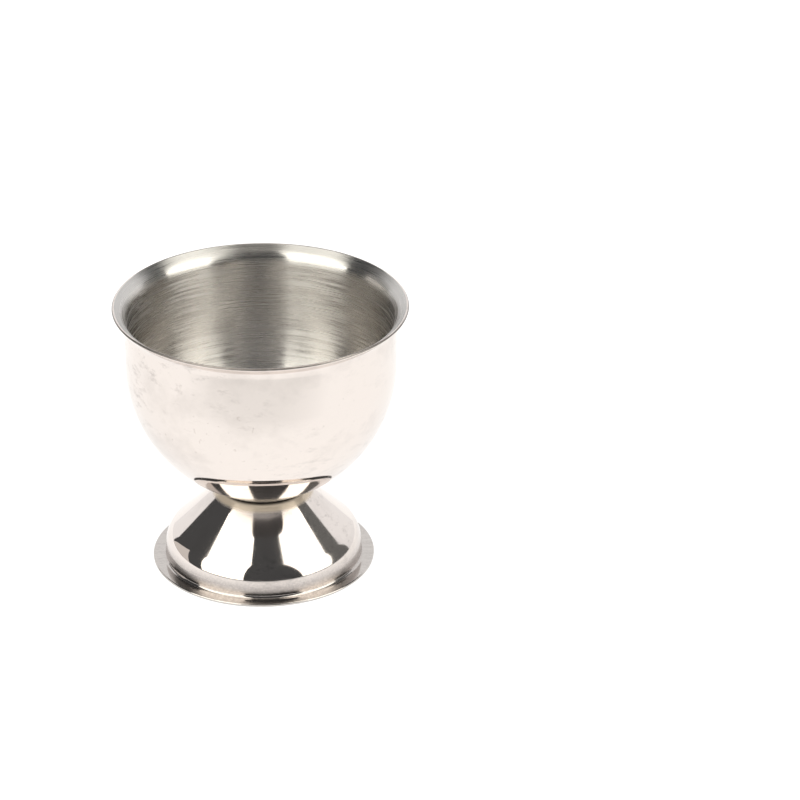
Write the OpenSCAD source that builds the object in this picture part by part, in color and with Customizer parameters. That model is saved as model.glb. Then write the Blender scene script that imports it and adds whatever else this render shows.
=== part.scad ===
// Footed egg cup in polished sheet steel: a deep-drawn bowl with a flared lip,
// spot-welded to a hollow pressed foot. The axis is Z and the table is z = 0.

/* [Cup] */
// Height from the table to the top of the lip
cup_h = 47.85; // [43:0.05:60]
// Thickness of the sheet that both pieces are pressed from
sheet_t = 0.5; // [0.45:0.05:0.8]
// Radius that polishing leaves on both corners of a cut edge
edge_r = 0.2; // [0.05:0.05:0.2]

/* [Bowl] */
// Outer diameter of the straight wall below the lip
wall_d = 46.2; // [42:0.1:50]
// How far the flared lip stands out past the wall
flare_reach = 1.9; // [1.5:0.1:3]
// Outer radius of the round belly, in section
belly_r = 25; // [15:0.5:30]
// Slope of the underside, in degrees from the axis
underside_angle = 58; // [50:1:62]
// Slope of the flared lip, in degrees from the axis
flare_angle = 52; // [40:1:65]
// Inside radius of the bend that turns the wall out into the lip
flare_bend_r = 2.4; // [1:0.1:2.8]

/* [Seam] */
// Diameter of the two flat discs that meet where the bowl sits on the foot
seam_d = 14.7; // [12:0.1:17]
// Inside radius of the bend round each flat disc
seam_bend_r = 1.8; // [0.4:0.1:2.4]
// Diameter of the weld nugget
weld_d = 4; // [2:0.5:8]
// Depth of the weld nugget in each of the two sheets
weld_depth = 0.25; // [0.1:0.05:0.3]

/* [Foot] */
// Height of the foot from the table to the seam
foot_h = 13.7; // [12.8:0.1:17]
// Outer diameter of the upright skirt above the flange
skirt_d = 34; // [30:0.1:34.5]
// How far the flat flange that rests on the table stands out past the skirt
flange_reach = 2.2; // [1.5:0.1:6]
// Height at which the cone's slope would meet the skirt, without the shoulder's rounding
shoulder_h = 4.48; // [3.9:0.01:5.5]
// Outer radius of the shoulder between the cone and the skirt, in section
shoulder_r = 5; // [2:0.1:6]
// Radius of the small fillet between the skirt and the flange
flange_bend_r = 0.5; // [0.2:0.1:1]

/* [Hidden] */
$fn = 180;

// Distance that a corner's patch runs past the faces that it joins
overrun = 0.1;
// Distance that a corner's arc runs past those faces, so that it crosses them cleanly
crossing = 0.0002;

wall_r = wall_d / 2;
seam_r = seam_d / 2;
skirt_r = skirt_d / 2;
flange_r = skirt_r + flange_reach;

// How far the rounding of the lip's cut edge brings its highest and widest points back
lip_loss = edge_r * (sin(flare_angle) + cos(flare_angle) - 1);
lip_r = wall_r + flare_reach + lip_loss;
// The cut edge is square to the lip's slope, so its inner corner is the highest
lip_z = cup_h + lip_loss - sheet_t * sin(flare_angle);

flare_z = lip_z - (lip_r - wall_r) / tan(flare_angle);
belly_z = foot_h + (wall_r - seam_r) / tan(underside_angle);

// Outer face of each pressing in section, with the sheet on the left of its direction
bowl_path = [
    [0, foot_h],
    [seam_r, foot_h],
    [wall_r, belly_z],
    [wall_r, flare_z],
    [lip_r, lip_z]
];
foot_path = [
    [flange_r, sheet_t],
    [skirt_r, sheet_t],
    [skirt_r, shoulder_h],
    [seam_r, foot_h],
    [0, foot_h]
];

// Unit vector from point i of a path towards point j
function toward(path, i, j) = (path[j] - path[i]) / norm(path[j] - path[i]);

function turned_left(v) = [-v.y, v.x];

function turns_left(path, i) = cross(toward(path, i - 1, i), toward(path, i, i + 1)) > 0;

// Path moved sideways by a distance, to the left of its direction
function moved(path, distance) = [
    for (i = [0 : len(path) - 1])
        let (
            a = max(i, 1),
            b = min(i + 1, len(path) - 1),
            before = turned_left(toward(path, a - 1, a)),
            after = turned_left(toward(path, b - 1, b))
        )
        path[i] + (before + after) * distance / (1 + before * after)
];

// What lies between corner i of a path and the arc of radius r that rounds it
module corner_patch(path, i, r) {
    before = toward(path, i, turns_left(path, i) ? i - 1 : i + 1);
    after = toward(path, i, turns_left(path, i) ? i + 1 : i - 1);
    half_angle = acos(before * after) / 2;
    reach = r / tan(half_angle);
    wedge = [path[i] + before * reach, path[i], path[i] + after * reach];
    centre = path[i] + (before + after) / norm(before + after) * r / sin(half_angle);
    difference() {
        polygon(concat(moved(wedge, -overrun), [wedge[2], wedge[0]]));
        translate(centre) circle(r + crossing);
    }
}

// Section of a bent sheet: bends holds the inside radius at each corner of the path
module bent_sheet(path, bends) {
    far_path = moved(path, sheet_t);
    last = len(path) - 1;
    free_end = path[0].x > path[last].x ? [0, 1] : [last, last - 1];
    cut_edge = [path[free_end[1]], path[free_end[0]], far_path[free_end[0]], far_path[free_end[1]]];
    difference() {
        union() {
            polygon(concat(path, [for (i = [last : -1 : 0]) far_path[i]]));
            for (i = [1 : last - 1])
                corner_patch(turns_left(path, i) ? far_path : path, i, bends[i - 1]);
        }
        for (i = [1 : last - 1])
            corner_patch(turns_left(path, i) ? path : far_path, i, bends[i - 1] + sheet_t);
        for (i = [1, 2])
            corner_patch(cut_edge, i, edge_r);
    }
}

// Space of the weld nugget, half in the foot's disc and half in the bowl's
module weld_space() {
    translate([0, 0, foot_h])
        cylinder(d = weld_d, h = 2 * weld_depth, center = true);
}

module bowl() {
    color("gainsboro")
        difference() {
            rotate_extrude()
                bent_sheet(bowl_path, [seam_bend_r, belly_r - sheet_t, flare_bend_r]);
            weld_space();
        }
}

module foot() {
    color("silver")
        difference() {
            rotate_extrude()
                bent_sheet(foot_path, [flange_bend_r, shoulder_r - sheet_t, seam_bend_r]);
            weld_space();
        }
}

module spot_weld() {
    color("dimgray")
        weld_space();
}

bowl();
foot();
spot_weld();
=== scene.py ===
# %% [markdown]
# # A footed egg cup in polished steel
#
# This lesson dresses an egg cup that was made as an exact solid elsewhere. The real cup is two pressings
# of half-millimetre steel sheet: a deep bowl with a flared lip, and a hollow foot with a narrow flange.
# One spot weld holds them together. Its outside is polished like a mirror and its inside is brushed in
# circles, so nearly all that an eye sees is light that bounced off something else. The work is therefore
# in three places: very smooth surfaces, two honest metals, and a small studio for the metal to look at.

# %% Load the exact model
from math import acos, atan2, ceil, cos, degrees, pi, radians, sin, tan

import bmesh
import bpy
from mathutils import Matrix, Vector


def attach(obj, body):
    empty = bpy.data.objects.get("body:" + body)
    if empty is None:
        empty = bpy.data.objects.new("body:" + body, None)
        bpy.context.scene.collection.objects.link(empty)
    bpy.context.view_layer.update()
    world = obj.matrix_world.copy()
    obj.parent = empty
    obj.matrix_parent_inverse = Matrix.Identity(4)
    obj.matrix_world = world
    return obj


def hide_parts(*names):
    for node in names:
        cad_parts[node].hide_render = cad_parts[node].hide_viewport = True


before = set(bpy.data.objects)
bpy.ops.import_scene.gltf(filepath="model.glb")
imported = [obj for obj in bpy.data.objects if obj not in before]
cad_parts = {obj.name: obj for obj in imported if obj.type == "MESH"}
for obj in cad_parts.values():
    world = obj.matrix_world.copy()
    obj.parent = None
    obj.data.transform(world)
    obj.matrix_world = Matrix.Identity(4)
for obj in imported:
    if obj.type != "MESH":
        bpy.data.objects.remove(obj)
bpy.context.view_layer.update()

MM = 0.001
print("pieces of the exact model:", sorted(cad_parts))

# %% [markdown]
# ## The sizes of the cup
#
# A turned or pressed piece is drawn as half a section, the way a metal spinner cuts a template. These are
# the same sizes that the exact model was drawn from, so the shiny skins made below lie right on it. Every
# size is in millimetres here and becomes metres when the mesh is made, because Blender works in metres.

# %% Sizes of both pressings
SHEET = 0.5
EDGE_ROUNDING = 0.2
CUP_HEIGHT = 47.85
FOOT_HEIGHT = 13.7
WALL_RADIUS = 23.1
FLARE_REACH = 1.9
FLARE_SLOPE = radians(52)
UNDERSIDE_SLOPE = radians(58)
SEAM_RADIUS = 7.35
SKIRT_RADIUS = 17.0
FLANGE_RADIUS = 19.2
SHOULDER_HEIGHT = 4.48
WELD_RADIUS = 2.0
WELD_DEPTH = 0.25

# Inside radius of each bend, from the middle of the piece outwards
BOWL_BENDS = [1.8, 24.5, 2.4]
FOOT_BENDS = [0.5, 4.5, 1.8]

lip_loss = EDGE_ROUNDING * (sin(FLARE_SLOPE) + cos(FLARE_SLOPE) - 1)
lip_radius = WALL_RADIUS + FLARE_REACH + lip_loss
lip_height = CUP_HEIGHT + lip_loss - SHEET * sin(FLARE_SLOPE)
flare_height = lip_height - (lip_radius - WALL_RADIUS) / tan(FLARE_SLOPE)
belly_height = FOOT_HEIGHT + (WALL_RADIUS - SEAM_RADIUS) / tan(UNDERSIDE_SLOPE)

BOWL_PATH = [(0, FOOT_HEIGHT), (SEAM_RADIUS, FOOT_HEIGHT), (WALL_RADIUS, belly_height),
             (WALL_RADIUS, flare_height), (lip_radius, lip_height)]
FOOT_PATH = [(FLANGE_RADIUS, SHEET), (SKIRT_RADIUS, SHEET), (SKIRT_RADIUS, SHOULDER_HEIGHT),
             (SEAM_RADIUS, FOOT_HEIGHT), (0, FOOT_HEIGHT)]
print("outer corners of the bowl:", [(round(r, 2), round(z, 2)) for r, z in BOWL_PATH])
print("outer corners of the foot:", [(round(r, 2), round(z, 2)) for r, z in FOOT_PATH])

# %% [markdown]
# ## From corners to a bent sheet
#
# Sheet metal has no sharp corners: it bends round a radius, and its two faces bend round the same centre,
# one sheet thickness apart. The helper below walks along the outer corners, offsets them for the other
# face, and puts a true arc on each corner. A mirror shows every mistake in a surface, so each point of the
# outline also carries the exact direction that the surface faces. Blender's own averages would be slightly
# wrong where a long straight part meets a tight bend, and the reflections would wobble there.

# %% Arcs, offsets and outlines
ARC_STEP = radians(2.5)
FEWEST_ARC_STEPS = 4
LONGEST_STEP = 1.2


def steps_between(first, last):
    """Points of a straight stretch, never further apart than the longest step."""
    count = max(1, ceil((last - first).length / LONGEST_STEP))
    return [first.lerp(last, i / count) for i in range(count + 1)]


def rounded(corners, radii):
    """Outline through the corners with an arc on each inner one, as (point, outward direction, run)."""
    corners = [Vector(c) for c in corners]
    outline, start = [], corners[0]
    for i in range(1, len(corners)):
        along = (corners[i] - corners[i - 1]).normalized()
        facing = Vector((along.y, -along.x))
        if i == len(corners) - 1:
            outline += [(p, facing, i - 1) for p in steps_between(start, corners[i])]
            break
        onward = (corners[i + 1] - corners[i]).normalized()
        turn = along.cross(onward)
        angle = acos(max(-1, min(1, along.dot(onward))))
        reach = radii[i - 1] * tan(angle / 2)
        stop = corners[i] - along * reach
        outline += [(p, facing, i - 1) for p in steps_between(start, stop)]
        side = 1 if turn > 0 else -1
        centre = stop - facing * side * radii[i - 1]
        count = max(FEWEST_ARC_STEPS, int(angle / ARC_STEP))
        for k in range(1, count):
            spin = Matrix.Rotation(side * angle * k / count, 2)
            ray = spin @ (facing * side)
            outline.append((centre + ray * radii[i - 1], ray * side, i - 1))
        start = corners[i] + onward * reach
    return outline


def other_face(corners):
    """The same corners, one sheet thickness to the left."""
    corners = [Vector(c) for c in corners]
    moved = []
    for i, corner in enumerate(corners):
        a, b = max(i, 1), min(i + 1, len(corners) - 1)
        before = (corners[a] - corners[a - 1]).normalized()
        after = (corners[b] - corners[b - 1]).normalized()
        left = Vector((-before.y, before.x)), Vector((-after.y, after.x))
        moved.append(corner + (left[0] + left[1]) * SHEET / (1 + left[0].dot(left[1])))
    return moved


print("arc step in degrees:", round(degrees(ARC_STEP), 1))

# %% [markdown]
# ## Closing the section
#
# A section of a real sheet is a thin closed band: out along one face, round the trimmed edge, and back
# along the other. Polishing takes the sharpness off both corners of the trimmed edge. In the middle, a
# small pocket leaves room for the weld. The band could be made with a Solidify modifier, but that can't
# round the edge or leave the pocket, so the outline is worked out point by point. Each point also keeps
# the number of its run, from one corner to the next, and the finishes are later chosen by that number.

# %% Closed outlines of the bowl and the foot
POCKET_CORNERS = [0.01, 0.01]


def bend_radii(corners, bends, far):
    """Arc radius at each inner corner, for the drawn face or for the far one."""
    radii = []
    for i, bend in enumerate(bends, 1):
        a, b, c = (Vector(corners[k]) for k in (i - 1, i, i + 1))
        sheet_is_inside = (b - a).cross(c - b) > 0
        radii.append(bend + (SHEET if sheet_is_inside != far else 0))
    return radii


def bowl_section():
    """From the middle of the bowl's bottom, round the lip, and back to the middle inside."""
    far = other_face(BOWL_PATH)
    pocket = FOOT_HEIGHT + WELD_DEPTH
    corners = [(0, pocket), (WELD_RADIUS, pocket), (WELD_RADIUS, FOOT_HEIGHT)] + BOWL_PATH[1:] + far[:0:-1]
    corners.append((0, far[0].y))
    radii = POCKET_CORNERS + bend_radii(BOWL_PATH, BOWL_BENDS, False) + [EDGE_ROUNDING] * 2
    radii += bend_radii(BOWL_PATH, BOWL_BENDS, True)[::-1]
    return rounded(corners, radii)


def foot_section():
    """From the middle of the disc's underside, round the flange, and back to the middle on top."""
    far = other_face(FOOT_PATH)
    pocket = FOOT_HEIGHT - WELD_DEPTH
    corners = [(0, far[-1].y)] + far[-2::-1] + FOOT_PATH[:-1]
    corners += [(WELD_RADIUS, FOOT_HEIGHT), (WELD_RADIUS, pocket), (0, pocket)]
    radii = bend_radii(FOOT_PATH, FOOT_BENDS, True)[::-1] + [EDGE_ROUNDING] * 2
    radii += bend_radii(FOOT_PATH, FOOT_BENDS, False) + POCKET_CORNERS
    return rounded(corners, radii)


bowl_outline = bowl_section()
foot_outline = foot_section()
print("points in the bowl's section:", len(bowl_outline), "and in the foot's:", len(foot_outline))

# %% [markdown]
# ## Turning a section into a skin
#
# The pressings are bodies of revolution. Blender has a Screw modifier for that, but here the mesh is
# written ring by ring with bmesh, which keeps the true normals, gives the middle one clean point instead
# of a pile of slivers, and lets each ring choose its finish.

# %% The lathe
TURN_STEPS = 300
ON_THE_AXIS = 1e-6


def lathe(name, outline, finishes, finish_of):
    """A closed skin turned round the Z axis, with exact normals."""
    mesh = bpy.data.meshes.new(name)
    build = bmesh.new()
    rings, normals = [], []
    for point, facing, _ in outline:
        if point.x < ON_THE_AXIS:
            rings.append([build.verts.new((0, 0, point.y * MM))])
            normals.append(Vector((0, 0, facing.y)))
            continue
        ring = []
        for j in range(TURN_STEPS):
            c, s = cos(2 * pi * j / TURN_STEPS), sin(2 * pi * j / TURN_STEPS)
            ring.append(build.verts.new((point.x * c * MM, point.x * s * MM, point.y * MM)))
            normals.append(Vector((facing.x * c, facing.x * s, facing.y)))
        rings.append(ring)
    for i in range(len(rings) - 1):
        low, high = rings[i], rings[i + 1]
        finish = finish_of(outline[i], outline[i + 1])
        for j in range(TURN_STEPS):
            k = (j + 1) % TURN_STEPS
            corners = [low[j % len(low)], low[k % len(low)], high[k % len(high)], high[j % len(high)]]
            face = build.faces.new(list(dict.fromkeys(corners)))
            face.smooth = True
            face.material_index = finish
    build.to_mesh(mesh)
    build.free()
    mesh.normals_split_custom_set_from_vertices(normals)
    skin = bpy.data.objects.new(name, mesh)
    bpy.context.collection.objects.link(skin)
    for finish in finishes:
        mesh.materials.append(finish)
    print(name, "has", len(mesh.vertices), "points and", len(mesh.polygons), "faces")
    return skin


# %% [markdown]
# ## Writing a material in words
#
# A material in Blender is a small network of nodes. Wiring one by hand is slow to read, so this helper
# makes a node from its kind and the values of its sockets. A value that is another node's output becomes
# a wire. Anything that stays the same all over a surface is set on the shader itself.

# %% A short hand for nodes
NEVER_ZERO = 1e-5
WANDER_SCALE = 70.0
HAIR_SCALE = (160, 160, 5200)


class Finish:
    """One material and its nodes."""

    def __init__(self, name):
        self.material = bpy.data.materials.new(name)
        self.material.use_nodes = True
        self.nodes = self.material.node_tree.nodes
        self.links = self.material.node_tree.links
        self.shader = self.nodes["Principled BSDF"]
        self.place = self.nodes.new("ShaderNodeTexCoord").outputs["Object"]

    def put(self, node, socket, value):
        if isinstance(value, bpy.types.NodeSocket):
            self.links.new(value, node.inputs[socket])
        else:
            node.inputs[socket].default_value = value

    def add(self, kind, sockets=(), out=0, **settings):
        node = self.nodes.new("ShaderNode" + kind)
        for key, value in settings.items():
            setattr(node, key, value)
        for socket, value in dict(sockets).items():
            self.put(node, socket, value)
        return node.outputs[out]

    def sum(self, operation, *values):
        return self.add("Math", dict(enumerate(values)), operation=operation)

    def noise(self, place, scale, detail=2.0, roughness=0.5):
        return self.add("TexNoise", {"Vector": place, "Scale": scale, "Detail": detail,
                                     "Roughness": roughness})

    def between(self, value, low, high, to_low=0.0, to_high=1.0):
        """Carries a value from one range to another and stops at its ends."""
        return self.add("MapRange", {"Value": value, "From Min": low, "From Max": high,
                                     "To Min": to_low, "To Max": to_high})

    def blend(self, amount, first, second):
        return self.add("Mix", {0: amount, 6: first, 7: second}, out=2, data_type="RGBA")

    def round_the_axis(self, around, across, foot=False, wander=0.0):
        """Coordinates that run along the turning marks: slow round the axis, fast across them."""
        split = self.nodes.new("ShaderNodeSeparateXYZ")
        self.links.new(self.place, split.inputs[0])
        x, y, z = split.outputs
        radius = self.sum("SQRT", self.sum("ADD", self.sum("MULTIPLY", x, x), self.sum("MULTIPLY", y, y)))
        safe = self.sum("MAXIMUM", radius, NEVER_ZERO)
        run = self.sum("SUBTRACT" if foot else "ADD", radius, z)
        if wander:
            drift = self.sum("SUBTRACT", self.noise(self.place, WANDER_SCALE, 1.0), 0.5)
            run = self.sum("ADD", run, self.sum("MULTIPLY", drift, wander * MM))
        return self.add("CombineXYZ", {0: self.sum("MULTIPLY", self.sum("DIVIDE", x, safe), around),
                                       1: self.sum("MULTIPLY", self.sum("DIVIDE", y, safe), around),
                                       2: self.sum("MULTIPLY", run, across)})

    def scratches(self, lean, start):
        """Sparse thin lines that lean a little off the level, each a few millimetres long."""
        turned = self.add("Mapping", {"Vector": self.place, "Location": (start, 0, 0),
                                      "Rotation": (0, lean, lean), "Scale": HAIR_SCALE})
        return self.between(self.noise(turned, 1.0, 1.0), 0.79, 0.84)

    def height(self):
        return self.add("SeparateXYZ", {0: self.place}, out=2)

    def dents(self, height, distance, before=None):
        sockets = {"Height": height, "Distance": distance, "Strength": 1.0}
        if before is not None:
            sockets["Normal"] = before
        return self.add("Bump", sockets)


print("nodes can now be written in one line each")

# %% [markdown]
# ## The mirror outside
#
# Polished steel reflects about four fifths of the light that falls on it, a little less of the blue, so
# white comes back faintly warm. What makes it look like a real cup and not like a computer's chrome is
# use: dull finger marks, a few darker freckles, hair scratches in all directions, and a sheet that isn't
# quite flat. Each is one noise. They change the roughness, the colour a little, and the surface by
# thousandths of a millimetre.

# %% Marks of use on the mirror
MIRROR, SMUDGED = (0.80, 0.735, 0.695, 1), (0.50, 0.455, 0.43, 1)
FRECKLE_TINT, HAIR_TINT = (0.44, 0.38, 0.34, 1), (0.45, 0.42, 0.40, 1)


def marks_of_use(finish, smudge, foot):
    """Colour of the mirror with wiped stains, freckles and hair scratches."""
    freckle = finish.between(finish.noise(finish.place, 900.0, 2.0, 0.6), 0.66, 0.76)
    patch = finish.between(finish.noise(finish.place, 60.0, 2.0), 0.5, 0.62)
    speckled = finish.sum("MULTIPLY", freckle, patch)
    wiped = finish.noise(finish.round_the_axis(5.0, 420.0, foot), 1.0, 6.0, 0.72)
    cluster = finish.between(finish.noise(finish.place, 42.0, 1.0), 0.40, 0.58)
    stain = finish.sum("MAXIMUM", finish.between(smudge, 0.50, 0.74, 0.0, 0.4),
                       finish.sum("MULTIPLY", finish.between(wiped, 0.52, 0.71, 0.0, 0.9), cluster))
    tint = finish.blend(stain, MIRROR, SMUDGED)
    tint = finish.blend(finish.sum("MULTIPLY", speckled, 0.55), tint, FRECKLE_TINT)
    hairs = finish.sum("MAXIMUM", finish.scratches(0.5, 31.0), finish.scratches(-0.35, 57.0))
    return finish.blend(finish.sum("MULTIPLY", hairs, 0.4), tint, HAIR_TINT)


print("a smudge takes the mirror from", MIRROR[:3], "to", SMUDGED[:3])

# %% [markdown]
# ## The neck and the seam
#
# Below the seam, the foot's neck gets a tan band of painted reflection. It stands in for the bowl's underside
# and the shaded paper that it mirrors, and it is also dull and partly non-metal. Above the seam, a grey band
# of painted shade darkens the bowl's underside, and a dark line of painted shade runs along the seam. All are
# bands that are measured off the height of the seam, so they run all the way round, as on the real cup.

# %% Painted reflection in the neck and painted shade at the seam
# painted light: a tan reflection in the foot's neck, a grey shade on the bowl's underside, a near-black shade
# in the seam
NECK_REFLECTION_PAINT, BOWL_NECK_SHADE_PAINT, SEAM_SHADE_PAINT = (0.70, 0.59, 0.465, 1), (0.56, 0.55, 0.55, 1), (0.03, 0.026, 0.024, 1)
FOOT_NECK_PAINT_BAND, BOWL_NECK_PAINT_BAND = (1.0, 1.45), (1.2, 5.5)
FOOT_SEAM_SHADE_BAND, BOWL_SEAM_SHADE_BAND = (0.16, 0.44), (0.08, 0.32)


def faded(finish, distance, full, gone, most=1.0):
    """The most up to the first distance in millimetres, and nothing from the second on."""
    return finish.between(distance, full * MM, gone * MM, most, 0.0)


def neck_and_seam(finish, tint, off_seam, foot):
    """The strength of the painted neck band, and the colour with that band and the painted seam shade on it.
    """
    neck = faded(finish, off_seam, *(FOOT_NECK_PAINT_BAND if foot else BOWL_NECK_PAINT_BAND))
    paint = NECK_REFLECTION_PAINT if foot else BOWL_NECK_SHADE_PAINT
    # painted reflection in the foot's neck, painted shade on the bowl's underside above the seam
    tint = finish.blend(finish.sum("MULTIPLY", neck, 0.9), tint, paint)
    # painted shade: a dark line in the crease along the seam between the two pressings
    seam_shade = faded(finish, off_seam, *(FOOT_SEAM_SHADE_BAND if foot else BOWL_SEAM_SHADE_BAND), most=0.95)
    return neck, finish.blend(seam_shade, tint, SEAM_SHADE_PAINT)


print("the film ends", FOOT_NECK_PAINT_BAND[1], "mm below the seam and", BOWL_NECK_PAINT_BAND[1], "mm above it")

# %% [markdown]
# ## The skirt and the flange
#
# The upright skirt is tinted a darker, grainy pinkish grey, a painted reflection of the table in front of it,
# and it is duller than the cone above it.
# The flat flange was only trimmed and wiped: its marks run outwards like rays. Here too the height above the
# table says where one finish ends and the next begins.

# %% Painted reflection on the skirt and wiped flange
SKIRT_REFLECTION_DARK, SKIRT_REFLECTION_PALE = (0.42, 0.385, 0.37, 1), (0.56, 0.515, 0.49, 1)
WORN_TINT = (0.64, 0.605, 0.575, 1)
SKIRT_BAND, FLANGE_BAND, FLAT_BAND = (2.4, 4.0), (1.0, 1.5), (0.5, 0.7)


def skirt_and_flange(finish, tint, haze, height):
    """The foot's colour and roughness with the painted reflection on its skirt and its rayed flange."""
    skirt = faded(finish, height, *SKIRT_BAND)
    grain = finish.between(finish.noise(finish.place, 2600.0, 3.0, 0.7), 0.38, 0.62)
    # painted reflection: a darker, grainy pinkish grey on the skirt stands in for the table that it mirrors
    painted = finish.blend(grain, SKIRT_REFLECTION_DARK, SKIRT_REFLECTION_PALE)
    tint = finish.blend(finish.sum("MULTIPLY", skirt, 0.9), tint, painted)
    flange = faded(finish, height, *FLANGE_BAND)
    outwards = finish.round_the_axis(26.0, 60.0, foot=True)
    rays = finish.between(finish.noise(outwards, 1.0, 3.0, 0.6), 0.35, 0.65)
    flat = faded(finish, height, *FLAT_BAND)
    worn = finish.between(rays, 0.0, 1.0, 0.35, 0.85)
    tint = finish.blend(finish.sum("MULTIPLY", flat, worn), tint, WORN_TINT)
    haze = finish.sum("ADD", haze, finish.sum("MULTIPLY", skirt, 0.24))
    return tint, finish.sum("SUBTRACT", haze, finish.sum("MULTIPLY", flange, 0.22))


print("the rubbed skirt fades out between", SKIRT_BAND[0], "and", SKIRT_BAND[1], "mm above the table")

# %% Mirror-polished steel


def mirror_steel(name, foot=False):
    finish = Finish(name)
    height = finish.height()
    smudge = finish.noise(finish.place, 95.0, 4.0, 0.6)
    tint = marks_of_use(finish, smudge, foot)
    off_seam = finish.sum("ABSOLUTE", finish.sum("SUBTRACT", height, FOOT_HEIGHT * MM))
    # painted reflection and painted shade round the neck, and painted shade along the seam
    neck, tint = neck_and_seam(finish, tint, off_seam, foot)

    lines = finish.noise(finish.round_the_axis(3.0, 9000.0, foot), 1.0, 3.0, 0.7)
    haze = finish.sum("ADD", finish.between(smudge, 0.4, 0.75, 0.035, 0.13),
                      finish.between(lines, 0.55, 0.8, 0.0, 0.05))
    haze = finish.sum("ADD", haze, finish.sum("MULTIPLY", neck, 0.16 if foot else 0.03))
    metal = 1.0
    if foot:
        # the painted reflection in the foot's neck is partly non-metal, so the lamps light its tan
        metal = finish.sum("SUBTRACT", 1.0, finish.sum("MULTIPLY", neck, 0.65))
        # the skirt gets its painted reflection of the table here
        tint, haze = skirt_and_flange(finish, tint, haze, height)
    else:
        haze = finish.sum("ADD", haze, faded(finish, off_seam, 1.2, 9.0, 0.17))
    sheet = finish.dents(finish.noise(finish.place, 120.0, 1.0), 6e-6)
    finish.put(finish.shader, "Base Color", tint)
    finish.put(finish.shader, "Roughness", haze)
    finish.put(finish.shader, "Normal", finish.dents(lines, 4e-7, before=sheet))
    finish.put(finish.shader, "Metallic", metal)
    return finish.material


polished_bowl = mirror_steel("mirror_steel_bowl")
polished_foot = mirror_steel("mirror_steel_foot", foot=True)
print("made", polished_bowl.name, "and", polished_foot.name)

# %% [markdown]
# ## The brushed inside
#
# The inside is finished with an abrasive pad while the bowl spins, which leaves fine circles. Such lines
# scatter light across themselves and hardly along themselves: a lamp becomes an upright stripe. Blender
# calls that anisotropy, and it needs a tangent that says which way the lines run. The lines also show one
# by one inside the bright stripes and hardly in the dark between them. So they are drawn as a noise that is
# stretched round the axis, and it mostly changes the roughness, which only shows where there is light to
# scatter. The lip is given a bit darker colour than the wall, and it is a bit duller.

# %% Circle-brushed steel
BRUSHED_DARK, BRUSHED_PALE = (0.655, 0.63, 0.605, 1), (0.745, 0.72, 0.695, 1)
LIP_TINT = (0.45, 0.445, 0.44, 1)
LIP_STARTS, LIP_FULL = 46.2, 47.3


def brushed_steel(name):
    finish = Finish(name)
    fine = finish.noise(finish.round_the_axis(2.8, 7500.0, wander=0.9), 1.0, 3.0, 0.7)
    broad = finish.noise(finish.round_the_axis(1.3, 1500.0, wander=1.4), 1.0, 3.0, 0.65)
    streaks = finish.sum("ADD", finish.sum("MULTIPLY", fine, 0.5), finish.sum("MULTIPLY", broad, 0.5))
    tint = finish.blend(finish.between(streaks, 0.38, 0.62), BRUSHED_DARK, BRUSHED_PALE)
    lip = finish.between(finish.height(), LIP_STARTS * MM, LIP_FULL * MM)
    tint = finish.blend(finish.sum("MULTIPLY", lip, 0.25), tint, LIP_TINT)
    finish.put(finish.shader, "Base Color", tint)
    rough = finish.between(streaks, 0.40, 0.60, 0.17, 0.35)
    finish.put(finish.shader, "Roughness", finish.sum("ADD", rough, finish.sum("MULTIPLY", lip, 0.06)))
    finish.put(finish.shader, "Normal", finish.dents(streaks, 1.3e-6))
    finish.put(finish.shader, "Tangent", finish.add("Tangent", direction_type="RADIAL", axis="Z"))
    finish.put(finish.shader, "Anisotropic", 1.0)
    finish.put(finish.shader, "Anisotropic Rotation", 0.25)
    finish.put(finish.shader, "Metallic", 1.0)
    return finish.material


brushed_inside = brushed_steel("brushed_steel_inside")
print("made", brushed_inside.name)

# %% [markdown]
# ## Metal that nobody polishes
#
# Under the foot the sheet is as the press left it: satin, with a fine grain and soft clouds. The weld nugget
# is duller and darker still. The exact model of the nugget keeps its shape and only gets a better material,
# because nothing about it shows at this scale. The outer half of the lip's trimmed edge is dark and matt, and
# it draws a thin dark line along the lip.

# %% Pressed steel and weld metal


def dull_steel(name, dark, pale, low, high):
    finish = Finish(name)
    grain = finish.noise(finish.place, 1400.0, 4.0, 0.65)
    cloud = finish.noise(finish.place, 140.0, 3.0)
    mixed = finish.sum("ADD", finish.sum("MULTIPLY", grain, 0.5), finish.sum("MULTIPLY", cloud, 0.5))
    finish.put(finish.shader, "Base Color", finish.blend(finish.between(mixed, 0.38, 0.62), dark, pale))
    finish.put(finish.shader, "Roughness", finish.between(grain, 0.35, 0.65, low, high))
    finish.put(finish.shader, "Normal", finish.dents(mixed, 4e-6))
    finish.put(finish.shader, "Metallic", 1.0)
    return finish.material


pressed_inside = dull_steel("pressed_steel_inside", (0.42, 0.41, 0.39, 1), (0.58, 0.56, 0.54, 1), 0.28, 0.42)
weld_metal = dull_steel("weld_metal", (0.16, 0.15, 0.15, 1), (0.30, 0.28, 0.27, 1), 0.45, 0.65)
trimmed_edge = dull_steel("trimmed_edge", (0.16, 0.14, 0.13, 1), (0.34, 0.31, 0.29, 1), 0.35, 0.5)
print("made", pressed_inside.name, "and", weld_metal.name, "and", trimmed_edge.name)

# %% [markdown]
# ## Turning the bowl and the foot
#
# The skins take the place of the two exact solids, which stay in the simulation. Along the bowl's outline
# the polished outside comes first, then the trimmed edge of the lip, and then the brushed inside, so the
# number of the run chooses the finish. On the rounded edge, only the part that faces outwards and up to
# about halfway gets the dark, matt finish, which draws a thin dark line along the lip.

# %% The bowl


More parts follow.
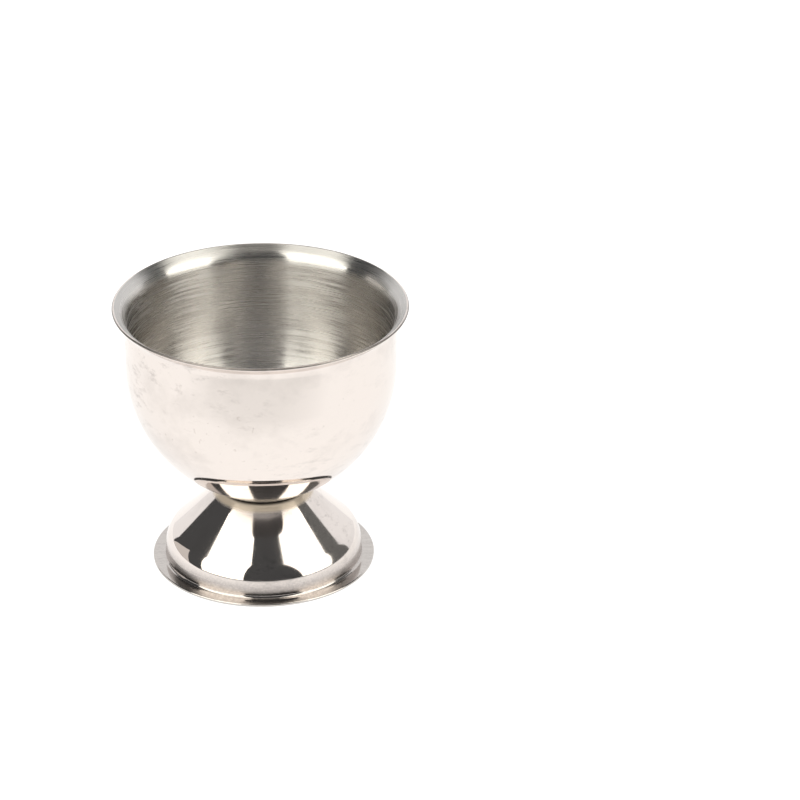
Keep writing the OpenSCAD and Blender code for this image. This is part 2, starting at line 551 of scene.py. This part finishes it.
def bowl_finish(start, end):
    edge_run, brushed_run = 5, 7
    dark_edge_from, dark_edge_to = 3, 48
    if end[2] >= brushed_run:
        return 1
    lift = degrees(atan2(start[1].y + end[1].y, start[1].x + end[1].x))
    return 2 if start[2] >= edge_run and dark_edge_from < lift < dark_edge_to else 0


bowl_skin = lathe("bowl_skin", bowl_outline, [polished_bowl, brushed_inside, trimmed_edge], bowl_finish)
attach(bowl_skin, "root")
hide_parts("bowl")

# %% The foot


def foot_finish(start, end):
    underside_done = 4
    return 1 if start[2] < underside_done else 0


foot_skin = lathe("foot_skin", foot_outline, [polished_foot, pressed_inside], foot_finish)
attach(foot_skin, "root")
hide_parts("foot")

# %% The weld
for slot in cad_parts["spot_weld"].material_slots:
    slot.material = weld_metal
print("the weld keeps its exact shape and is now", weld_metal.name)

# %% [markdown]
# ## The table
#
# The cup stands on white paper. The paper is bright white to the eye and to the metal, but it keeps a
# little of the shadow: part of its light comes from itself and the rest from the lamps. Towards the camera
# the paper runs out of the light. That is too far forward to be seen itself, but the bowl's upright wall
# mirrors it as a soft grey in its middle.

# %% White paper
PAPER, PAPER_SHADED_BY = (0.9, 0.9, 0.9, 1), (0.3, 0.3, 0.3, 1)
OWN_LIGHT, OWN_LIGHT_AHEAD = 0.9, 0.72
FADE_FROM, FADE_TO = -0.06, -0.10


def white_paper():
    finish = Finish("white_paper")
    finish.put(finish.shader, "Base Color", PAPER)
    finish.put(finish.shader, "Roughness", 0.9)
    rays = finish.nodes.new("ShaderNodeLightPath")
    seen = finish.sum("MAXIMUM", finish.sum("MAXIMUM", rays.outputs["Is Camera Ray"],
                                            rays.outputs["Is Glossy Ray"]),
                      rays.outputs["Is Transmission Ray"])
    own_light = finish.nodes.new("ShaderNodeEmission")
    paper = finish.nodes.new("ShaderNodeBsdfDiffuse")
    paper.inputs["Color"].default_value = PAPER_SHADED_BY
    ahead = finish.add("SeparateXYZ", {0: finish.place}, out=1)
    finish.put(own_light, "Strength", finish.between(ahead, FADE_TO, FADE_FROM, OWN_LIGHT_AHEAD, OWN_LIGHT))
    both = finish.nodes.new("ShaderNodeAddShader")
    finish.links.new(own_light.outputs[0], both.inputs[0])
    finish.links.new(paper.outputs[0], both.inputs[1])
    choose = finish.nodes.new("ShaderNodeMixShader")
    finish.links.new(seen, choose.inputs[0])
    finish.links.new(finish.shader.outputs[0], choose.inputs[1])
    finish.links.new(both.outputs[0], choose.inputs[2])
    finish.links.new(choose.outputs[0], finish.nodes["Material Output"].inputs[0])
    return finish.material


print("the paper gives", OWN_LIGHT, "of its light itself, and", OWN_LIGHT_AHEAD, "towards the camera")

# %% The table top
TABLE_HALF, TABLE_DROP, TABLE_SQUARES = 6.0, 5e-5, 8


def table():
    build = bmesh.new()
    bmesh.ops.create_grid(build, x_segments=TABLE_SQUARES, y_segments=TABLE_SQUARES, size=TABLE_HALF)
    bmesh.ops.translate(build, verts=build.verts, vec=(0, 0, -TABLE_DROP))
    mesh = bpy.data.meshes.new("table")
    build.to_mesh(mesh)
    build.free()
    mesh.materials.append(white_paper())
    top = bpy.data.objects.new("table", mesh)
    bpy.context.collection.objects.link(top)
    return top


floor = table()
print("the table is", 2 * TABLE_HALF, "m across")

# %% [markdown]
# ## The studio
#
# A mirror shows the room. In the photograph the foot shows two tall cream windows with a dark gap between
# them, dark walls beside them, and white paper all the way round behind. So the room here has two big soft
# panels, left and right of the camera, and a small dull card far to the left. Blender's own area lamp is
# always a rectangle. A panel made as a four-cornered mesh that shines can lean, and the way that the bright
# shapes bend over the foot's shoulder shows that the real ones did.

# %% Two tall soft panels and a card
PANEL_DISTANCE = 1.0
WINDOW, WINDOW_GLOW = (1.0, 0.985, 0.91, 1), 2.4
CARD, CARD_GLOW = (1.0, 0.95, 0.9, 1), 0.7


def direction(turn, lift):
    """Unit vector; a turn of 0 points at the camera's side, and positive turns go to the right."""
    turn, lift = radians(turn), radians(lift)
    return Vector((sin(turn) * cos(lift), -cos(turn) * cos(lift), sin(lift)))


def shining(name, colour, strength):
    finish = Finish(name)
    glow = finish.nodes.new("ShaderNodeEmission")
    glow.inputs["Color"].default_value = colour
    glow.inputs["Strength"].default_value = strength
    finish.links.new(glow.outputs[0], finish.nodes["Material Output"].inputs[0])
    return finish.material


def soft_panel(name, turns, lifts, finish):
    """A flat four-cornered panel, seen from the cup at these turns and lifts, bottom corners first."""
    middle = direction(sum(turns) / 4, 0)
    mesh = bpy.data.meshes.new(name)
    corners = []
    for turn, lift in zip(turns, lifts):
        ray = direction(turn, lift)
        corners.append(ray * PANEL_DISTANCE / ray.dot(middle))
    build = bmesh.new()
    build.faces.new([build.verts.new(corner) for corner in corners])
    build.to_mesh(mesh)
    build.free()
    mesh.materials.append(finish)
    panel = bpy.data.objects.new(name, mesh)
    panel.visible_camera = False
    bpy.context.collection.objects.link(panel)
    print(name, "is", [round(v, 2) for v in panel.dimensions], "m")


glow = shining("window_light", WINDOW, WINDOW_GLOW)
soft_panel("left_panel", (-70.5, -21, -21, -101), (2, 2, 70, 60), glow)
soft_panel("right_panel", (46, 84, 112, 32), (2, 2, 60, 72), glow)
soft_panel("pale_card", (-90, -128, -121, -104), (0.5, 0.5, 11, 27), shining("card_light", CARD, CARD_GLOW))

# %% [markdown]
# ## The dark room
#
# Polished metal is only as dark as what it mirrors, so the dark wedges on the foot need dark walls. A dome
# of small patches round the set stands for the room: charcoal on the camera's side, greyer on the right, and
# a pale ceiling right above. It is open behind, up to the top of the paper, and there the metal
# sees the plain white world. The camera doesn't see the dome, so the background stays white.

# %% The dark room
ROOM_RADIUS = 5.0
DARK_FROM, DARK_TO, PAPER_TOP, CEILING_FROM = -129, 117, 39, 75
GREY_FROM, GREY_TO = 78, 132
PATCH = 3
CHARCOAL, CEILING, GREY_WALL = (0.072, 0.074, 0.076, 1), (0.80, 0.77, 0.71, 1), (0.16, 0.162, 0.158, 1)


def wall_finish(turn, lift):
    """Which material a patch has: 0 charcoal, 1 ceiling, 2 grey wall."""
    if lift >= CEILING_FROM:
        return 1
    return 2 if GREY_FROM <= turn < GREY_TO else 0


def dark_room():
    """Dark walls on the camera's side and a ceiling, open where the white paper stands."""
    build = bmesh.new()
    for lift in range(0, 90, PATCH):
        for turn in range(-180, 180, PATCH):
            if lift < PAPER_TOP and not DARK_FROM <= turn < DARK_TO:
                continue
            corners = [(turn, lift), (turn + PATCH, lift), (turn + PATCH, lift + PATCH), (turn, lift + PATCH)]
            patch = build.faces.new([build.verts.new(direction(*corner) * ROOM_RADIUS) for corner in corners])
            patch.material_index = wall_finish(turn, lift)
    bmesh.ops.remove_doubles(build, verts=build.verts, dist=MM)
    mesh = bpy.data.meshes.new("dark_room")
    build.to_mesh(mesh)
    build.free()
    for name, colour in (("charcoal", CHARCOAL), ("ceiling", CEILING), ("grey_wall", GREY_WALL)):
        mesh.materials.append(shining(name, colour, 1.0))
    walls = bpy.data.objects.new("dark_room", mesh)
    walls.visible_camera = False
    bpy.context.collection.objects.link(walls)
    return walls


dark_room()
print("the room is dark from", DARK_FROM, "to", DARK_TO, "degrees, up to", CEILING_FROM, "degrees of lift")

# %% The white behind
world = bpy.data.worlds.new("white_paper_behind")
bpy.context.scene.world = world
world.use_nodes = True
background = world.node_tree.nodes["Background"]
background.inputs["Color"].default_value = (1, 1, 1, 1)
background.inputs["Strength"].default_value = 1.0
print("the world behind the cup is plain white at strength", background.inputs["Strength"].default_value)

# %% [markdown]
# ## The camera
#
# The lens is long, so the cup shows hardly any perspective. Its place and tilt were found by laying the
# rings of the cup over the photograph: the camera looks down by nearly 27 degrees from a bit over half a
# metre, and it was held a third of a degree off level.

# %% Camera
CAMERA_PLACE = (23.575, -528.203, 296.880)
PITCH, ROLL = 26.82, 0.343
SENSOR, FOCAL_SHARE = 36.0, 4.336
NEAREST, FURTHEST = 0.01, 50.0

camera_data = bpy.data.cameras.new("camera")
camera_data.sensor_width = SENSOR
camera_data.lens = SENSOR * FOCAL_SHARE
camera_data.clip_start, camera_data.clip_end = NEAREST, FURTHEST
camera = bpy.data.objects.new("camera", camera_data)
turn = Matrix.Rotation(radians(90 - PITCH), 4, "X") @ Matrix.Rotation(radians(ROLL), 4, "Z")
camera.matrix_world = Matrix.Translation(Vector(CAMERA_PLACE) * MM) @ turn
bpy.context.collection.objects.link(camera)
bpy.context.scene.camera = camera
bpy.context.scene.view_settings.view_transform = "Standard"
print("lens", round(camera_data.lens, 1), "mm")
